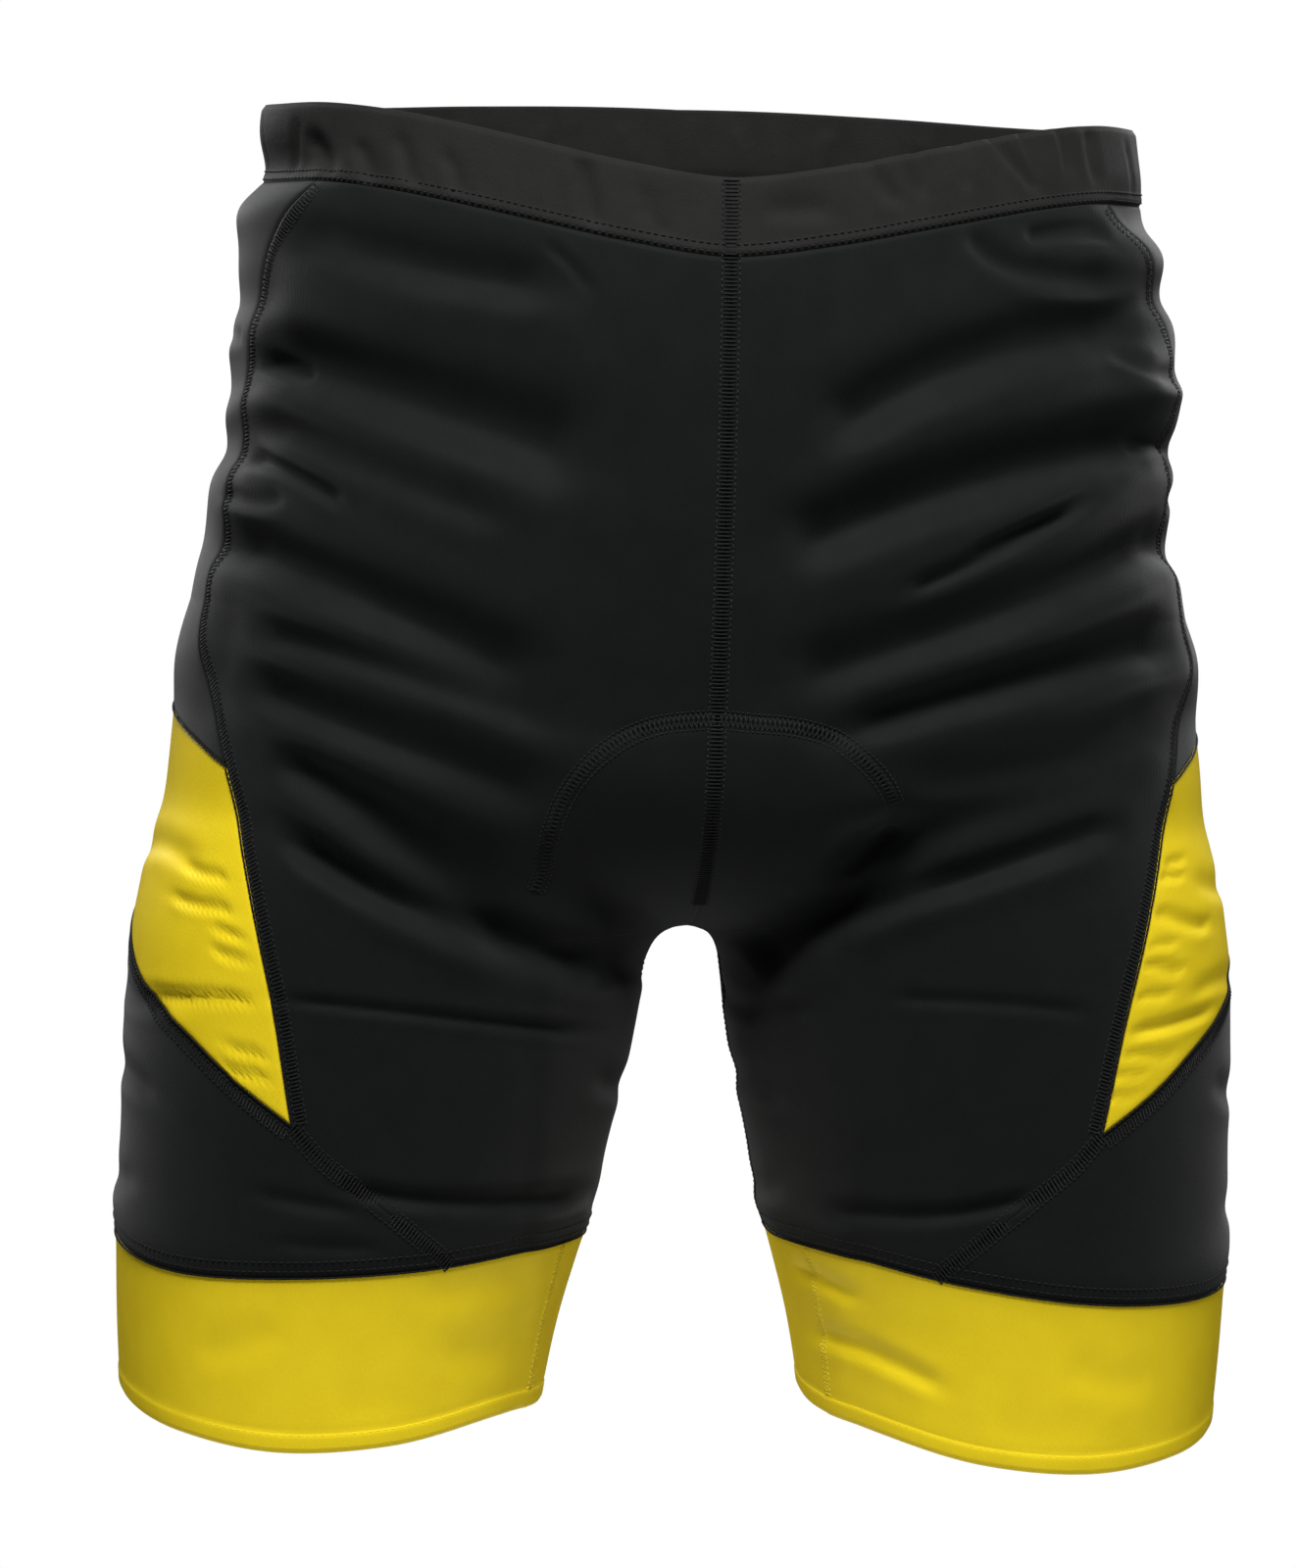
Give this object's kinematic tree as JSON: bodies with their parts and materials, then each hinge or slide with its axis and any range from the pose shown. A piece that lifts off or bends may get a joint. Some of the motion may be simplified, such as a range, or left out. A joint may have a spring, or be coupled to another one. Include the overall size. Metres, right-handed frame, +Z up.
{
  "type": "cycling shorts",
  "caption": "Worn, close-fitting black cycling shorts with an elastic waistband, yellow side panels and wide yellow cuffs, kept in their hollow worn form.",
  "frame": {"origin": "middle of the waist opening, where the wearer's waist holds the shorts up", "axes": "+Z up, -Y towards the front of the shorts, +X towards the wearer's left"},
  "size_m": [0.4127, 0.2542, 0.4977],
  "materials": {
    "black_jersey": "matte",
    "black_band": "matte",
    "yellow_jersey": "satin"
  },
  "bodies": {
    "root": {"waistband": "black_band", "front_left": "black_jersey", "back_left": "black_jersey", "side_upper_left": "black_jersey", "side_yellow_left": "yellow_jersey", "side_lower_left": "black_jersey", "cuff_left": "yellow_jersey", "front_right": "black_jersey", "back_right": "black_jersey", "side_upper_right": "black_jersey", "side_yellow_right": "yellow_jersey", "side_lower_right": "black_jersey", "cuff_right": "yellow_jersey"}
  },
  "joints": []
}
